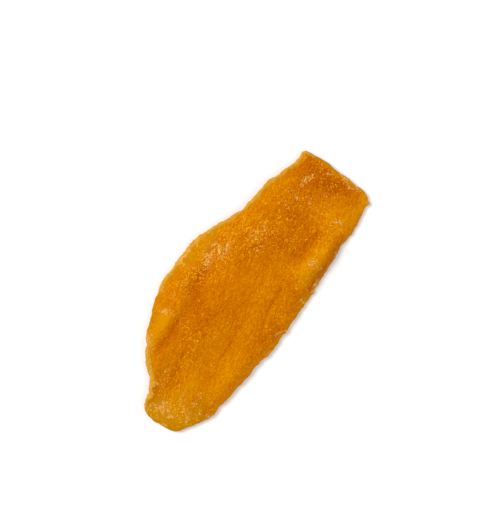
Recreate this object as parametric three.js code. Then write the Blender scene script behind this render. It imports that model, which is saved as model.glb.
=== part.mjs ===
// One dried mango slice: a leathery lengthwise slice of fruit that shrank, curled and creased as it dried.
// Millimetres, +Z up. +X runs along the slice to its broad end, +Y to the long edge that lifts a little.
// The origin is at the middle of the slice's length and width, on the surface that it lies on.
//
// The slice is a bent sheet, the mid surface, with flesh on both sides of it and a rounded rim all round.
import * as THREE from "three";

// Driving dimensions
const LENGTH = 120;
const WIDTH = 50.6;
const THICKNESS_MIDDLE = 3.8;
const THICKNESS_RIM = 2.3;
const TAPER_WIDTH = 10; // distance from the edge over which the flesh thins towards the rim
const RIM_BULGE = 0.75; // how far the rounded rim stands out past the end of the flat flesh
const SETTLE = 0.35; // depth of soft flesh that its own weight has flattened where it touches

// How the sheet lies
const ARCH_ACROSS = 1.3; // how far the middle stands above the sheet ARCH_HALF_WIDTH to either side of it
const ARCH_HALF_WIDTH = 20;
const ARCH_ALONG = 1.5; // and above the sheet ARCH_HALF_LENGTH towards either end
const ARCH_HALF_LENGTH = 50;
const CURL_UP_WIDTH = 4; // width of the strip that bends up along the edge
const CURL_DOWN_WIDTH = 3.5; // and of the one that bends down

// The mesh: points round the edge, rings from the edge to the spine, and steps round the rim
const POINTS_ROUND = 144;
const RINGS = 13;
const RING_CROWDING = 1.25; // above 1, rings lie closer together near the edge
const RIM_STEPS = 4;
const SPINE_SHARE = 0.8; // length of the spine, the straight line that the rings shrink to, over the slice's
const CURVE_SAMPLES = 2000; // steps in which the edge's length is measured

// The cut edge, anticlockwise from the middle of the broad end. The third number is how far its curl lifts it,
// or turns it down where the number is negative.
const EDGE = [
  [59.7, -4, 0.5],
  [59.4, 5, 0.3],
  [57.6, 10.6, 0.3],
  [52, 11.2, 0.4],
  [40, 14.8, 0.4],
  [27, 16.5, 0.5],
  [15, 21.4, 0.3],
  [5, 24.7, 0.1],
  [-8, 25.2, -0.2],
  [-19, 24.3, -0.2],
  [-28, 20.8, -0.1],
  [-36, 17.2, 0.1],
  [-43, 12.2, 0.5],
  [-48.5, 6.6, 0.7],
  [-57.4, 3, 0.5],
  [-60, -5, 0.2],
  [-58, -13, 0],
  [-47, -20.4, -0.4],
  [-35, -21.9, -0.7],
  [-20, -23.6, -0.8],
  [-8, -25.2, -0.8],
  [5, -24.6, -0.9],
  [15, -24.8, -1.3],
  [28, -23.3, -1.5],
  [42, -22.9, -1.0],
  [55, -21.7, -0.2],
  [58.9, -17, 0.4],
];

// Small waves that the knife and the drying left in the edge: how many fit round it, and how far they swing.
const EDGE_WAVES = [
  { round: 17, swing: 0.16, start: 0.4 },
  { round: 26, swing: 0.14, start: 2.1 },
  { round: 31, swing: 0.1, start: 4.4 },
];

// The ridges and hollows of the sheet. Each follows a line, and falls away to either side of it with its own
// width on the left and on the right, as seen along the line.
const FORMS = {
  shoulder: { from: [-37, 14], to: [-18, 14.8], left: 6.5, right: 2.6, height: 1.1 },
  shoulderEnd: { from: [-12, 18.6], to: [6, 20], left: 5, right: 3, height: 0.6 },
  shoulderValley: { from: [-37, 10], to: [-17, 10.6], left: 2.4, right: 4, height: -0.5 },
  upperPool: { from: [-9, 14], to: [-3, 14.8], left: 3.2, right: 3.8, height: -0.7 },
  upperSwell: { from: [5, 14], to: [13, 14.5], left: 5, right: 5, height: 0.3 },
  middleDimple: { from: [-17, 3], to: [-14.5, 7.5], left: 4, right: 4, height: -0.45 },
  bluntSwell: { from: [-34, 4], to: [-26, 6], left: 5, right: 6, height: 0.3 },
  bluntEndHollow: { from: [-53, -3], to: [-46, 1], left: 4.5, right: 5, height: -0.9 },
  foldCrest: { from: [16, -19.4], to: [30, -20.4], left: 4.6, right: 2.8, height: 1.4 },
  foldCrestEnd: { from: [36, -20], to: [50, -18], left: 6.5, right: 3.5, height: 1.0 },
  foldHollow: { from: [22, -9], to: [33, -11.5], left: 8, right: 5, height: -1.4 },
  broadEndHollow: { from: [53, -3], to: [51.5, 6], left: 4, right: 5, height: -0.8 },
  lowerRidge: { from: [-38, -17], to: [-23, -18.8], left: 5, right: 3, height: 0.9 },
  lowerCrease: { from: [-8, -16], to: [7, -12.8], left: 2.4, right: 2.6, height: -0.35 },
};
const FORM_END_WIDTH = 1.3; // a form dies out past its line's ends over this share of its mean width

// Height of the sheet at a point of the plan, without the curl of its edge.
function sheetHeight(x, y) {
  let z = -ARCH_ACROSS * (y / ARCH_HALF_WIDTH) ** 2 - ARCH_ALONG * (x / ARCH_HALF_LENGTH) ** 2;
  for (const form of Object.values(FORMS)) {
    const start = new THREE.Vector2(...form.from);
    const line = new THREE.Vector2(...form.to).sub(start);
    const length = line.length();
    line.normalize();
    const point = new THREE.Vector2(x, y).sub(start);
    const along = point.dot(line);
    const aside = line.cross(point);
    const past = Math.max(-along, along - length, 0);
    const sideWidth = aside > 0 ? form.left : form.right;
    const endWidth = (FORM_END_WIDTH * (form.left + form.right)) / 2;
    z += form.height * Math.exp(-((aside / sideWidth) ** 2) - (past / endWidth) ** 2);
  }
  return z;
}

// How far the small waves push the edge out at a share of the way round.
function waveAt(share) {
  return EDGE_WAVES.reduce(
    (sum, wave) => sum + wave.swing * Math.sin(2 * Math.PI * wave.round * share + wave.start),
    0,
  );
}

// Points on the cut edge at equal steps, each with its lift as z and its outward direction in the plan.
function edgePoints() {
  const corners = EDGE.map((corner) => new THREE.Vector3(...corner));
  const curve = new THREE.CatmullRomCurve3(corners, true, "catmullrom", 0.5);
  curve.arcLengthDivisions = CURVE_SAMPLES;
  const points = curve.getSpacedPoints(POINTS_ROUND).slice(0, POINTS_ROUND);
  return points.map((point, i) => {
    const before = points[(i + POINTS_ROUND - 1) % POINTS_ROUND];
    const after = points[(i + 1) % POINTS_ROUND];
    const out = new THREE.Vector2(after.y - before.y, before.x - after.x).normalize();
    const plan = new THREE.Vector2(point.x, point.y).addScaledVector(out, waveAt(i / POINTS_ROUND));
    return { plan, out, lift: point.z };
  });
}

// One point of the mid surface, on the line from the spine (outward 0) to the rim (outward 1), with the
// thickness that the flesh has there.
function sheetPoint(edge, i, outward) {
  const { plan: cut, out, lift } = edge[i];
  const turn = Math.cos((2 * Math.PI * i) / POINTS_ROUND);
  const spine = edge[POINTS_ROUND / 2].plan.clone().lerp(edge[0].plan, (1 + SPINE_SHARE * turn) / 2);
  const rim = cut.clone().addScaledVector(out, -RIM_BULGE);
  const plan = spine.clone().lerp(rim, outward);
  const inset = (1 - outward) * rim.distanceTo(spine);
  const curlWidth = lift > 0 ? CURL_UP_WIDTH : CURL_DOWN_WIDTH;
  const curl = lift * Math.max(0, 1 - inset / curlWidth) ** 2;
  const thinning = Math.max(0, 1 - inset / TAPER_WIDTH) ** 2;
  return {
    position: new THREE.Vector3(plan.x, plan.y, sheetHeight(plan.x, plan.y) + curl),
    thickness: THREE.MathUtils.lerp(THICKNESS_MIDDLE, THICKNESS_RIM, thinning),
  };
}

// The mid surface as rings from the edge to the spine. The last ring holds only the spine's own points,
// because both sides of the sheet share them.
function sheetPoints() {
  const edge = edgePoints();
  const points = [];
  for (let ring = 0; ring < RINGS; ring += 1) {
    const outward = 1 - (ring / (RINGS - 1)) ** RING_CROWDING;
    const count = ring < RINGS - 1 ? POINTS_ROUND : POINTS_ROUND / 2 + 1;
    for (let i = 0; i < count; i += 1) {
      points.push(sheetPoint(edge, i, outward));
    }
  }
  return points;
}

// Number of a point of the sheet in that list.
function sheetIndex(ring, i) {
  const round = i % POINTS_ROUND;
  const shared = ring === RINGS - 1 ? Math.min(round, POINTS_ROUND - round) : round;
  return ring * POINTS_ROUND + shared;
}

// Two triangles between two points of one ring and the two beside them on the next.
function quad(a, b, c, d) {
  return [
    [a, b, c],
    [a, c, d],
  ];
}

function sheetFaces() {
  const faces = [];
  for (let ring = 0; ring < RINGS - 1; ring += 1) {
    for (let i = 0; i < POINTS_ROUND; i += 1) {
      const inner = [sheetIndex(ring + 1, i + 1), sheetIndex(ring + 1, i)];
      faces.push(...quad(sheetIndex(ring, i), sheetIndex(ring, i + 1), ...inner));
    }
  }
  return faces;
}

// Upward directions of the sheet at its points: the mean over the faces that meet there.
function sheetNormals(points, faces) {
  const geometry = new THREE.BufferGeometry().setFromPoints(points);
  geometry.setIndex(faces.flat());
  geometry.computeVertexNormals();
  const normals = geometry.getAttribute("normal");
  return points.map((_, i) => new THREE.Vector3().fromBufferAttribute(normals, i));
}

// One ring of the rounded rim. Turn goes down from a quarter circle at the upper skin to minus that at the
// lower one, round half an ellipse as high as the flesh is thick.
function rimRing(points, normals, thicknesses, turn) {
  const ring = [];
  for (let i = 0; i < POINTS_ROUND; i += 1) {
    const before = points[(i + POINTS_ROUND - 1) % POINTS_ROUND];
    const after = points[(i + 1) % POINTS_ROUND];
    const outward = after.clone().sub(before).normalize().cross(normals[i]);
    const rise = (thicknesses[i] / 2) * Math.sin(turn);
    const reach = RIM_BULGE * Math.cos(turn);
    ring.push(points[i].clone().addScaledVector(normals[i], rise).addScaledVector(outward, reach));
  }
  return ring;
}

// Lets the soft underside settle flat on the surface, and fits the plan to the driving length and width.
function layDown(points) {
  const box = new THREE.Box3().setFromPoints(points);
  const size = box.getSize(new THREE.Vector3());
  const middle = box.getCenter(new THREE.Vector3());
  for (const point of points) {
    point.x = ((point.x - middle.x) * LENGTH) / size.x;
    point.y = ((point.y - middle.y) * WIDTH) / size.y;
    point.z = Math.max(0, point.z - box.min.z - SETTLE);
  }
}

function sliceGeometry() {
  const sheet = sheetPoints();
  const points = sheet.map((item) => item.position);
  const thicknesses = sheet.map((item) => item.thickness);
  const upperFaces = sheetFaces();
  const normals = sheetNormals(points, upperFaces);
  const upper = points.map((p, i) => p.clone().addScaledVector(normals[i], thicknesses[i] / 2));
  const lower = points.map((p, i) => p.clone().addScaledVector(normals[i], -thicknesses[i] / 2));
  const lowerStart = upper.length;
  const lowerFaces = upperFaces.map(([a, b, c]) => [c + lowerStart, b + lowerStart, a + lowerStart]);

  // The rim's rings, between the first ring of the upper skin and that of the lower one
  const rim = [];
  const ringStarts = [0];
  for (let step = 1; step <= RIM_STEPS; step += 1) {
    const turn = Math.PI / 2 - (Math.PI * step) / (RIM_STEPS + 1);
    ringStarts.push(2 * lowerStart + rim.length);
    rim.push(...rimRing(points, normals, thicknesses, turn));
  }
  ringStarts.push(lowerStart);
  const rimFaces = [];
  for (let step = 0; step <= RIM_STEPS; step += 1) {
    const [here, next] = [ringStarts[step], ringStarts[step + 1]];
    for (let i = 0; i < POINTS_ROUND; i += 1) {
      const j = (i + 1) % POINTS_ROUND;
      rimFaces.push(...quad(here + i, next + i, next + j, here + j));
    }
  }

  const vertices = [...upper, ...lower, ...rim];
  layDown(vertices);
  const geometry = new THREE.BufferGeometry().setFromPoints(vertices);
  geometry.setIndex([...upperFaces, ...lowerFaces, ...rimFaces].flat());
  geometry.computeVertexNormals();
  return geometry;
}

const flesh = new THREE.MeshStandardMaterial({ color: "#d27600", roughness: 0.5, metalness: 0 });
const slice = new THREE.Mesh(sliceGeometry(), flesh);
slice.name = "mango_slice";

const part = new THREE.Group();
part.add(slice);

export default part;
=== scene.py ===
"""One dried mango slice on a pale floor: leathery flesh with its wrinkles and fibres, and the sugar on it.

Lengths in the tables are millimetres and the meshes are metres. +X runs along the slice to its broad end,
+Y to the long edge that lifts a little, and +Z up.
"""

import math
from itertools import product

import bpy
import numpy as np
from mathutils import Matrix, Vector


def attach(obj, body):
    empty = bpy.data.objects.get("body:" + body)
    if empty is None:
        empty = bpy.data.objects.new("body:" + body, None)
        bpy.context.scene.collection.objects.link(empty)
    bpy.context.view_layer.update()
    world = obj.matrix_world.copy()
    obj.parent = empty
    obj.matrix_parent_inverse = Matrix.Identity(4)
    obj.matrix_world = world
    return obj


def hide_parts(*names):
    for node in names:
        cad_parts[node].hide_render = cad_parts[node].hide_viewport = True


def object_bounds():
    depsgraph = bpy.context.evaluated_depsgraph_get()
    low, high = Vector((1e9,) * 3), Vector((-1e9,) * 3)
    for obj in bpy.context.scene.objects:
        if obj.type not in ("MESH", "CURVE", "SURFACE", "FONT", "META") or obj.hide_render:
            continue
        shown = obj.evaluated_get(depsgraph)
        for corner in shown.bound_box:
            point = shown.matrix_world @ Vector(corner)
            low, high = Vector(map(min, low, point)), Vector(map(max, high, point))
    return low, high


bl_info = {
    "name": "Dried mango slice",
    "version": (1, 0, 0),
    "blender": (4, 5, 0),
    "location": "View3D > Sidebar > Mango",
    "description": "Builds one dried mango slice with its sugar, and a small studio round it",
    "category": "Add Mesh",
}

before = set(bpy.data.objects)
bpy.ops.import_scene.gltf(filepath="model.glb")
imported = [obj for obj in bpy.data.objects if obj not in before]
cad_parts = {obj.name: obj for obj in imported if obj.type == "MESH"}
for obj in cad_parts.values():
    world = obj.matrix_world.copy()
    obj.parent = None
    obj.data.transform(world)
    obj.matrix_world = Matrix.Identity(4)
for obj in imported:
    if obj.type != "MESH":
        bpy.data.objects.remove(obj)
CAD_LOW, CAD_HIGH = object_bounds()
NODE = "mango_slice"
BODY = "root"
MM = 0.001

# The slice's driving dimensions and the way it lies
THICKNESS_MIDDLE = 3.8
THICKNESS_RIM = 2.3
TAPER_WIDTH = 10  # distance from the edge over which the flesh thins towards the rim
RIM_BULGE = 0.75  # how far the rounded rim stands out past the end of the flat flesh
SETTLE = 0.35  # depth of soft flesh that its own weight has flattened where it touches
ARCH_ACROSS = 1.3  # how far the middle stands above the sheet ARCH_HALF_WIDTH to either side of it
ARCH_HALF_WIDTH = 20
ARCH_ALONG = 1.5  # and above the sheet ARCH_HALF_LENGTH towards either end
ARCH_HALF_LENGTH = 50
CURL_UP_WIDTH = 4  # width of the strip that bends up along the edge
CURL_DOWN_WIDTH = 3.5  # and of the one that bends down

# The mesh: points round the edge, rings from the edge to the spine, and steps round the rim
POINTS_ROUND = 768
RINGS = 73
RING_CROWDING = 1.25  # above 1, rings lie closer together near the edge
UNDERSIDE_EVERY = 3  # the underside has one ring for this many of the face
RIM_STEPS = 8
SPINE_SHARE = 0.8  # length of the spine, the straight line that the rings shrink to, over the slice's
CURVE_STEPS = 200  # samples between two points of the edge
FADE_ROWS = 3  # rows of the mesh over which what only the face shows fades out

# The noise of the wrinkles
LATTICE_SLOPES = 1024  # number of random slopes that its corners share
LATTICE_PRIMES = (73856093, 19349663, 83492791)  # factors that scatter the corners over the slopes
LATTICE_HEIGHT = 1.6  # brings the noise to about -1 to 1

# The cut edge, anticlockwise from the middle of the broad end. The third number is how far its curl lifts
# it, or turns it down where the number is negative.
EDGE = [
    (59.7, -4, 0.5),
    (59.4, 5, 0.3),
    (57.6, 10.6, 0.3),
    (52, 11.2, 0.4),
    (40, 14.8, 0.4),
    (27, 16.5, 0.5),
    (15, 21.4, 0.3),
    (5, 24.7, 0.1),
    (-8, 25.2, -0.2),
    (-19, 24.3, -0.2),
    (-28, 20.8, -0.1),
    (-36, 17.2, 0.1),
    (-43, 12.2, 0.5),
    (-48.5, 6.6, 0.7),
    (-57.4, 3, 0.5),
    (-60, -5, 0.2),
    (-58, -13, 0),
    (-47, -20.4, -0.4),
    (-35, -21.9, -0.7),
    (-20, -23.6, -0.8),
    (-8, -25.2, -0.8),
    (5, -24.6, -0.9),
    (15, -24.8, -1.3),
    (28, -23.3, -1.5),
    (42, -22.9, -1.0),
    (55, -21.7, -0.2),
    (58.9, -17, 0.4),
]

# Small waves that the knife and the drying left in the edge: how many fit round it, how far they swing, and
# where in the wave they start
EDGE_WAVES = [(17, 0.16, 0.4), (26, 0.14, 2.1), (31, 0.1, 4.4)]

# Every feature of the slice follows a line, from and to, and falls away to either side of it. The line is
# followed by one width for both sides, or by one for its left and one for its right. The last number is the
# feature's height, or its strength in a mask. These are the broad forms of the sheet.
FORMS = {
    "shoulder": ((-37, 14), (-18, 14.8), 6.5, 2.6, 1.1),
    "shoulder end": ((-12, 18.6), (6, 20), 5, 3, 0.6),
    "shoulder valley": ((-37, 10), (-17, 10.6), 2.4, 4, -0.5),
    "upper pool": ((-9, 14), (-3, 14.8), 3.2, 3.8, -0.7),
    "upper swell": ((5, 14), (13, 14.5), 5, 0.3),
    "middle dimple": ((-17, 3), (-14.5, 7.5), 4, -0.45),
    "blunt swell": ((-34, 4), (-26, 6), 5, 6, 0.3),
    "blunt end hollow": ((-53, -3), (-46, 1), 4.5, 5, -0.9),
    "fold crest": ((16, -19.4), (30, -20.4), 4.6, 2.8, 1.4),
    "fold crest end": ((36, -20), (50, -18), 6.5, 3.5, 1.0),
    "fold hollow": ((22, -9), (33, -11.5), 8, 5, -1.4),
    "broad end hollow": ((53, -3), (51.5, 6), 4, 5, -0.8),
    "lower ridge": ((-38, -17), (-23, -18.8), 5, 3, 0.9),
    "lower crease": ((-8, -16), (7, -12.8), 2.4, 2.6, -0.35),
}
FORM_END_WIDTH = 1.3  # a form dies out past its line's ends over this share of its mean width

# Fine creases, too narrow for the solid. Their flesh is darker too, partly its own colour and partly painted
# shade in the creases.
CREASES = {
    "blunt end crease": ((-50, 1.2), (-45, 0.6), 0.6, -0.2),
    "blunt end crease middle": ((-45, 0.6), (-38, 1.6), 0.6, -0.2),
    "blunt end crease tail": ((-38, 1.6), (-32.6, 3.3), 0.7, -0.28),
    "blunt end tuck": ((-50.6, 3.6), (-44, 6), 1.2, -0.16),
    "shoulder foot start": ((-36, 13), (-31.4, 11.9), 0.9, -0.07),
    "shoulder foot": ((-31, 11.8), (-24.6, 11.8), 0.9, 1.0, -0.16),
    "shoulder foot end": ((-24, 12), (-19, 13.2), 0.8, -0.1),
    "long crease blunt end": ((-38, -10.4), (-30.6, -11.4), 0.8, 0.9, -0.1),
    "long crease foot": ((-30.1, -11.4), (-24.8, -9.9), 0.5, 0.7, -0.22),
    "long crease": ((-24.6, -9.8), (-17.4, -9.6), 0.45, 0.6, -0.26),
    "long crease middle": ((-17.6, -9.2), (0, -8.6), 0.6, 0.7, -0.13),
    "long crease end": ((0.4, -8.6), (14, -8), 0.7, 0.8, -0.07),
    "lower crease start": ((-10.4, -17.4), (-4.2, -15.4), 0.6, 0.7, -0.2),
    "lower crease": ((-4, -15.3), (0, -14), 0.6, 0.8, -0.2),
    "lower crease end": ((0.3, -13.9), (9.4, -12.9), 0.9, 1.0, -0.26),
    "fold foot": ((12, -16.6), (20, -14.4), 0.7, 0.9, -0.16),
    "hollow foot": ((23, -9), (34, -11.8), 1.4, 1.6, -0.16),
    "broad end line": ((38, -1), (52, -7), 0.6, -0.1),
    "upper streaks": ((16.6, 10.4), (23, 9), 0.5, -0.2),
}
PAINTED_CREASE_SHADE = 1.3  # painted shade of the creases: fall of the tone for a millimetre of crease depth

# Small nicks and lumps of the cut edge, seen from above
NICKS = {
    "blunt end dent": ((-55.6, 3.2), (-52.6, 4.2), 1.4, -1.0),
    "shoulder dent": ((-39, 15.4), (-37.2, 16), 1.1, -0.4),
    "top lump": ((-10.6, 25.6), (-8.6, 25.6), 1, 0.45),
    "upper dent": ((18.2, 19.8), (20.2, 19), 1.2, -0.65),
    "broad end top dent": ((51.6, 11.2), (56, 10.6), 1.5, -0.7),
    "broad end corner": ((58.2, 10), (58.8, 10.6), 1.2, 0.8),
    "broad end dent": ((59.4, -3.4), (59.4, -5.6), 1.5, -0.65),
    "broad end foot dent": ((59.2, -14.4), (59.2, -15.6), 1, -0.45),
    "broad corner": ((56, -22), (57.8, -20.4), 1.5, 0.6),
    "broad corner spur": ((55.7, -20.6), (56, -20.5), 0.5, 1.3),
    "fold end lump": ((44, -23.2), (47.6, -23), 1.6, 0.6),
    "fold edge lump": ((29, -23.6), (34.6, -23.4), 1.6, 0.4),
    "lower edge lump": ((-1.8, -25), (4, -24.8), 1.4, 0.55),
    "lower edge dent": ((-5.4, -25), (-4.4, -25), 1, -0.8),
    "lower edge crumb": ((-13.2, -25), (-11, -25), 1, 0.8),
    "lower edge swell": ((-36, -22), (-29, -22.8), 1.5, 0.55),
    "blunt low dent": ((-41.8, -21.4), (-40.6, -21.4), 1, -0.6),
    "blunt low lump": ((-46.6, -20.8), (-44.6, -21), 1, 0.55),
}
NICK_REACH = 3  # how far in from the edge the flesh moves along

# Layers of wrinkles: length and width of one wrinkle, the angle that it lies at in degrees, its height, and
# its random seed
SWELLS = (13, 8, 12, 0.16, 3)
PUCKERS = (5.5, 3.2, 20, 0.11, 4)
FINE_PUCKERS = (2.6, 1.6, -25, 0.05, 5)
FIBRES = (11, 1.1, 17, 0.05, 6)
RIM_LUMPS = (2.2, 2.2, 0, 0.2, 7)
RIM_CRUMBS = (1.0, 1.0, 0, 0.2, 8)
RAGGED_EDGE = (1.9, 1.9, 0, 0.22, 12)
UNEVEN_RIM = (1.6, 1.6, 0, 0.45, 11)  # its height is the share by which the pale rim's width varies

# Where the fibres show
FIBRE_ZONES = {
    "blunt half": ((-44, 0), (-12, -2), 14, 12, 1.0),
    "broad half": ((10, 2), (45, -4), 9, 0.35),
}

# Colour of the flesh, from deep orange below 0 to golden yellow above it. Besides the flesh's own tone it
# holds painted shade in the hollows, the pool, the valley and the edge that curls down, and painted light on
# the crests and ridges.
TONE_AND_SHADE_ZONES = {
    "shoulder gold end": ((-4, 21), (8, 21), 4, 3, 0.3),
    "valley": ((-32.6, 10.6), (-18, 11), 1.8, 3.4, -0.3),
    "upper pool": ((-10, 13.2), (-3, 14.8), 2, 3.4, -0.6),
    "middle streak": ((-17, 3), (-13, 9), 3, -0.3),
    "middle": ((-40, 5), (-10, -2), 7, -0.25),
    "upper right": ((18, 14), (46, 10), 4, 4.4, 0.25),
    "broad end": ((54, -12), (55, 3), 4, 4.5, -0.7),
    "fold crest": ((20, -17), (31, -17.4), 2.2, 0.6),
    "fold crest end": ((34, -15), (52, -15), 5, 6, 0.3),
    "fold hollow": ((20, -2), (33, -10.5), 5, 4, -0.2),
    "fold edge": ((17, -23), (36, -22), 2, -1.0),
    "lower ridge": ((-36.6, -15.8), (-21, -17), 2.4, 3.2, 0.45),
    "lower swell": ((-26, -12), (-4, -12), 3, 3.4, 0.2),
    "blunt bulge": ((-54, -12), (-50, -8), 5, 0.5),
    "shoulder foot": ((-38, 14.5), (-24, 17), 2, 0.75),
    "blunt upper edge": ((-48, 6), (-40, 11), 2, 0.5),
    "hollow foot": ((24, -11), (34, -13), 2.5, -0.4),
    "lower edge blunt": ((-42, -21), (-20, -23), 2, 1.5, 0.4),
    "broad corner": ((46, -20.4), (56, -20), 2.5, 0.45),
    "upper edge": ((14, 20), (34, 15), 2, 0.4),
    "broad corner edge": ((53.5, -20.2), (58, -18.2), 1.3, 0.4),
    "broad end top edge": ((52.4, 10), (57.2, 9.3), 1.0, 0.6),
    "blunt end hollow": ((-50, -1), (-48, -1), 3, -0.3),
    "blunt low edge": ((-58.6, -9), (-56.4, -14.6), 2.2, -0.7),
    "lower edge crumbs": ((-16, -23.8), (-5, -24.6), 1.2, 0.3),
    "fold edge start": ((14, -23.4), (21, -22.8), 1.4, 0.45),
    "broad middle": ((36, 2), (46, 2), 4, -0.3),
    "lower middle": ((-20, -20), (8, -19), 2.5, -0.2),
    "valley end": ((-19, 12.2), (-12, 12.6), 1.6, 0.2),
    "blunt dent": ((-56, 2), (-50, 4), 2, -1.2),
    "shoulder ridge": ((-32, 14.6), (-19, 14.4), 0.9, 0.25),
    "shoulder crest": ((-33, 17), (-22, 16), 1.4, 0.15),
    "broad swell": ((44, -13), (51, -12), 1.6, 0.2),
    "pool heart": ((-8, 15), (-2.5, 15), 2, -0.2),
    "hollow right": ((26, -2), (36, -2), 3, -0.25),
    "middle upper": ((14, 4), (22, 3), 3, -0.45),
    "blunt low rise": ((-53, -15), (-44, -14), 2.5, -0.45),
    "pool far wall": ((-2, 17.4), (0.5, 17.8), 1.4, 0.4),
    "lower crust": ((-6, -22), (-3, -23.6), 1.4, -0.4),
    "top rise": ((-26, 20.6), (-12, 22), 1.8, 0.25),
    "crest far": ((19, -14.4), (22, -14.8), 1.6, 0.5),
    "broad top": ((38, 8.4), (50, 6), 2.4, -0.15),
    "broad end heart": ((51, -2), (55, -8), 2.5, -0.3),
    "left spot": ((-24, -3), (-21, -3), 2.5, 0.2),
    "long crease bank": ((-3, -9.8), (17, -7.6), 1.8, 0.2),
    "blunt low bank": ((-42, -8), (-38.4, -6.4), 2.5, 0.4),
}

# Hue of the flesh, from a red flush below 0 to olive above it
HUES = {
    "centre flush": ((2, -8), (12, 2), 8, 7, -2.0),
    "hollow flush": ((20, -8), (36, -10), 5, 4, -1.5),
    "pool flush": ((-12, 13.5), (-3, 14.8), 2.6, 3, -0.8),
    "valley flush": ((-36, 11), (-26, 11), 2, -0.6),
    "blunt end": ((-60, -14), (-58, 3), 9, 1.0),
    "shoulder top": ((-20, 24), (10, 24), 3, 3.5, 0.7),
    "shoulder": ((-42, 11), (-24, 18), 3, 0.55),
    "blunt end top": ((-56, 0), (-44, 5), 3, 0.15),
    "blunt end low": ((-52, -6), (-42, -8), 4, 0.4),
    "middle left": ((-30, -4), (-12, -4), 5, 0.25),
    "lower middle": ((-20, -20), (8, -20), 4, -1.7),
    "top flush": ((-22, 21.2), (-9, 21.6), 1.8, -0.5),
    "crescent flush": ((20, -3), (23, -9.5), 2.2, -1.6),
    "middle ring": ((20, 7), (27, 5), 3, -0.2),
    "fold edge rim": ((17, -24), (40, -22.6), 1.6, -0.6),
    "top border right": ((0, 20.5), (12, 18.5), 1.8, 0.35),
    "streak flush": ((-18, 4), (-13, 12), 2.5, -0.5),
    "centre heart": ((3, -2), (10, 0), 3, -0.9),
    "blunt upper": ((-40, 4), (-30, 9), 3, 0.25),
    "blunt low rise": ((-53, -15), (-42, -15), 2.5, 0.75),
    "crest": ((16, -17), (38, -17), 2, 0.35),
    "crest foot": ((15, -19.4), (34, -21.8), 1.9, 0.6),
    "hollow right": ((28, 0), (38, -4), 3, -0.9),
}

# Where the flesh is thick with fine bright curls and specks, which are painted glints on its tiny bumps
SPECKLES = {
    "upper middle": ((-6, 15), (16, 13), 6, 5, 0.75),
    "middle": ((15, 9), (26, 0), 6, 0.8),
    "broad half": ((30, 4), (55, 1), 7, 9, 0.6),
    "broad end low": ((40, -10), (56, -8), 5, 4, 0.4),
    "blunt end": ((-57, -1), (-48, -14), 7, 8, 0.85),
    "blunt middle": ((-41, 2), (-24, 2), 6, 0.75),
    "shoulder end": ((-16, 19), (2, 19), 4, 0.4),
    "fold crest": ((18, -18), (38, -16), 4, 0.55),
    "lower edge": ((-16, -20), (12, -18), 4, 0.35),
}

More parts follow.
